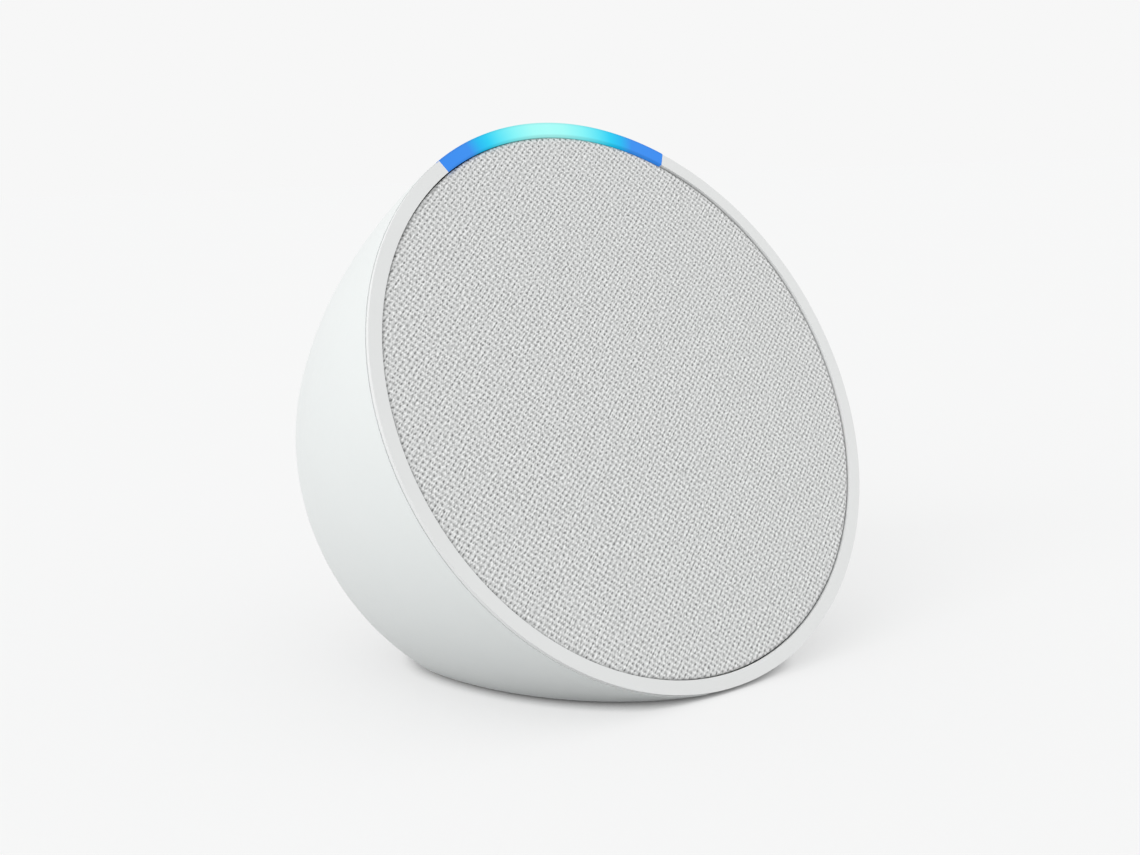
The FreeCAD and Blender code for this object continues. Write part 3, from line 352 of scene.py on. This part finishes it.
def knit_depth(turn_x, turn_y, rng):
    """How deep each point lies between the threads: 0 on top of a thread, 1 in an opening."""
    wave = 0.5 + FALLING_THREADS * np.cos(turn_x + turn_y) + RISING_THREADS * np.cos(turn_x - turn_y)
    wave -= COLUMN_CHANGE * np.cos(turn_x + COLUMN_PHASE) + ROW_CHANGE * np.cos(turn_y + ROW_PHASE)
    grain = rng.normal(0, 1, wave.shape)
    # only the quick part of the unevenness is kept, because the slow part would show as blotches
    around = sum(np.roll(grain, turn, axis) for turn in (-1, 1) for axis in (0, 1)) / 4
    depth = np.maximum(wave, 0)**OPENING_SHARPNESS + UNEVENNESS * (grain - around)
    return np.clip(depth, -0.1, 1.15)


def make_fabric():
    """One continuous knitted surface: dimples at the openings, knots where the threads cross."""
    step_x = CELL_WIDTH / SAMPLES_PER_CELL
    step_y = CELL_HEIGHT / SAMPLES_PER_CELL
    half_x = math.ceil(fabric_radius * (1 + ROW_LEAN) / step_x) + 1
    half_y = math.ceil(fabric_radius / step_y) + 1
    column, row = np.meshgrid(np.arange(-half_x, half_x + 1), np.arange(-half_y, half_y + 1))
    rng = np.random.default_rng(SEED)
    turn = 2 * np.pi / SAMPLES_PER_CELL
    depth = knit_depth(turn * column, turn * row, rng)
    wander_x = THREAD_WANDER * soft_noise(rng, depth.shape, WANDER_SAMPLES)
    wander_y = THREAD_WANDER * soft_noise(rng, depth.shape, WANDER_SAMPLES)
    grid_x = column * step_x + ROW_LEAN * row * step_y + wander_x
    grid_y = row * step_y + wander_y
    radius = np.hypot(grid_x, grid_y)
    inside = radius < fabric_radius - 0.3 * step_x
    keep = inside[:-1, :-1] | inside[1:, :-1] | inside[:-1, 1:] | inside[1:, 1:]
    # points just outside the edge are drawn in to lie on it
    pull = np.where(inside, 1.0, fabric_radius / np.maximum(radius, step_x))
    x = grid_x * pull
    y = grid_y * pull
    near_edge = np.clip((np.hypot(x, y) - fabric_radius + EDGE_ROLL) / EDGE_ROLL, 0, 1)
    relief = THREAD_RELIEF * np.clip(depth, 0, 1) * (1 - near_edge)
    z = -FABRIC_FRONT - relief - EDGE_DROP * near_edge**2
    used = np.zeros(depth.shape, bool)
    used[:-1, :-1] |= keep
    used[1:, :-1] |= keep
    used[:-1, 1:] |= keep
    used[1:, 1:] |= keep
    number = np.full(depth.shape, -1)
    number[used] = np.arange(used.sum())
    points = np.stack([x[used], y[used], z[used]], 1)
    corners = (number[:-1, :-1], number[:-1, 1:], number[1:, 1:], number[1:, :-1])
    faces = np.stack([corner[keep] for corner in corners], 1)
    mesh = bpy.data.meshes.new("knit_fabric")
    mesh.from_pydata(points.tolist(), [], faces.tolist())
    shade = mesh.attributes.new("painted_shade_depth", "FLOAT", "POINT")
    # the depth, plus painted shade at the tucked edge, drives the knit's colour
    shade.data.foreach_set("value", (depth + EDGE_PAINTED_SHADE * near_edge**4)[used])
    mesh.transform(FACE)
    mesh.shade_smooth()
    piece = bpy.data.objects.new("knit_fabric", mesh)
    bpy.context.scene.collection.objects.link(piece)
    return piece


# colour from the top of a thread, 0, down into an opening, 1: white thread with a painted highlight on its
# top, and painted shade down in the openings
THREAD_AND_SHADE_COLORS = [
    (0.25, (0.69, 0.698, 0.694, 1)),
    (0.6, (0.40, 0.405, 0.403, 1)),
]
THREAD_TOP_HIGHLIGHT = (0.90, 0.91, 0.905, 1)
OPENING_SHADE = (0.13, 0.134, 0.133, 1)
FIBRE_SCALE = 3800
FUZZ_SCALE = 9000
FUZZ_HEIGHT = 0.03 * MM


def fabric_material():
    """White threads with a painted highlight on their tops, over openings greyed with painted shade, with a
    little unevenness and fuzz.
    """
    m = Nodes("knit_white")
    depth = m.add("Attribute", attribute_name="painted_shade_depth")
    fibres = m.spread(m.noise(FIBRE_SCALE, 0), 0.25, 0.75, -0.10, 0.10)
    # painted shade and highlight: the colour follows the depth between the threads
    ramp = m.add("ValToRGB")
    m.join(m.math("ADD", depth.outputs["Fac"], fibres), ramp.inputs["Fac"])
    elements = ramp.color_ramp.elements
    elements[0].color = THREAD_TOP_HIGHLIGHT
    elements[1].color = OPENING_SHADE
    for level, color in THREAD_AND_SHADE_COLORS:
        elements.new(level).color = color
    m.bump(m.noise(FUZZ_SCALE, 2, 0.6), FUZZ_HEIGHT, 0.8)
    return m.set(color=ramp.outputs["Color"], roughness=0.85, specular=0.25, sheen=0.1, sheen_roughness=0.5)


fabric = make_fabric()
fabric.data.materials.append(fabric_material())
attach(fabric, "root")
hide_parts("grille_fabric")


# ---------------------------------------------------------------- floor, light and camera

FLOOR_HALF = 30.0
BACKGROUND = 0.93
# the floor's own light, how much of it is thrown back at the speaker, and how far each painted shadow cut
# into that light reaches
FLOOR_GLOW = 0.548
THROWN_BACK = 0.36
CONTACT_SHADOW_REACH = 4 * MM
UNDERSIDE_SHADOW_REACH = 60 * MM


def openness(m, reach, low, high, most):
    """From 0 where a point's surroundings within reach are open only to the share low, to most at high."""
    occlusion = m.add("AmbientOcclusion", samples=8)
    occlusion.inputs["Distance"].default_value = reach
    return m.spread(occlusion.outputs["AO"], low, high, 0.0, most)


def floor_material():
    """Matt translucent sheet lit from below as well, as product tables are: bright, with light shadows.

    It throws less of its own light back at the speaker than it shows, and none right at the contact. Both its
    glow close round the speaker and the light it throws back under the overhang are cut as painted shadow.
    """
    m = Nodes("floor_sheet")
    tone = m.mix(m.noise(8, 2), (0.352, 0.354, 0.354, 1), (0.356, 0.358, 0.358, 1))
    # painted contact shadow: the glow the camera sees is cut close round the speaker
    seen = m.mix(openness(m, CONTACT_SHADOW_REACH, 0.0, 0.35, 1.0), BLACK, WHITE)
    # painted shadow: the glow thrown back at the speaker is cut under its overhang, darkening its underside
    thrown = m.mix(openness(m, UNDERSIDE_SHADOW_REACH, 0.25, 1.0, THROWN_BACK), BLACK, WHITE)
    glow = m.mix(m.add("LightPath").outputs["Is Diffuse Ray"], seen, thrown)
    return m.set(color=tone, roughness=0.95, specular=0.0, glow=glow, glow_strength=FLOOR_GLOW)


def make_floor():
    """A square so wide that its far edge falls on the horizon."""
    mesh = bpy.data.meshes.new("floor")
    work = bmesh.new()
    bmesh.ops.create_grid(work, x_segments=8, y_segments=8, size=FLOOR_HALF)
    work.to_mesh(mesh)
    work.free()
    piece = bpy.data.objects.new("floor", mesh)
    bpy.context.scene.collection.objects.link(piece)
    mesh.materials.append(floor_material())


def soft_sun(name, came_from, power, spread_degrees):
    """A wide, even light that leaves the floor the same brightness everywhere."""
    lamp = bpy.data.lights.new(name, "SUN")
    lamp.energy = power
    lamp.angle = math.radians(spread_degrees)
    piece = bpy.data.objects.new(name, lamp)
    piece.rotation_euler = (-Vector(came_from)).to_track_quat("-Z", "Y").to_euler()
    bpy.context.scene.collection.objects.link(piece)


def even_sky():
    world = bpy.data.worlds.new("studio")
    world.use_nodes = True
    sky_color = world.node_tree.nodes["Background"].inputs["Color"]
    sky_color.default_value = (BACKGROUND, BACKGROUND, BACKGROUND, 1)
    bpy.context.scene.world = world


make_floor()
soft_sun("key", (-1.0, -0.3, 0.3), 1.6, 60)
even_sky()
bpy.context.scene.view_settings.view_transform = "Standard"

# the camera stands in front of the face, off to its right-hand side and a little above it
CAMERA_TURN = math.radians(-39.7)
CAMERA_RISE = math.radians(8.7)
CAMERA_ROLL = math.radians(-2.1)
CAMERA_DISTANCE = 270 * MM
CAMERA_ACROSS = -11.1 * MM
CAMERA_UP = -4.8 * MM
LENS_MM = 52.2


def make_camera():
    """The turn and rise alone set where it looks; it then stands a little off across and up from the face."""
    back = Vector((
        math.sin(CAMERA_TURN) * math.cos(CAMERA_RISE),
        -math.cos(CAMERA_TURN) * math.cos(CAMERA_RISE),
        math.sin(CAMERA_RISE)))
    right = (-back).cross(Vector((0, 0, 1))).normalized()
    up = right.cross(-back)
    place = face_centre + back * CAMERA_DISTANCE + right * CAMERA_ACROSS + up * CAMERA_UP
    rolled_right = right * math.cos(CAMERA_ROLL) + up * math.sin(CAMERA_ROLL)
    rolled_up = up * math.cos(CAMERA_ROLL) - right * math.sin(CAMERA_ROLL)
    data = bpy.data.cameras.new("camera")
    data.lens = LENS_MM
    data.clip_start = 0.01
    piece = bpy.data.objects.new("camera", data)
    turn = Matrix((rolled_right, rolled_up, back)).transposed().to_4x4()
    piece.matrix_world = Matrix.Translation(place) @ turn
    bpy.context.scene.collection.objects.link(piece)
    bpy.context.scene.camera = piece


make_camera()

bpy.context.view_layer.update()
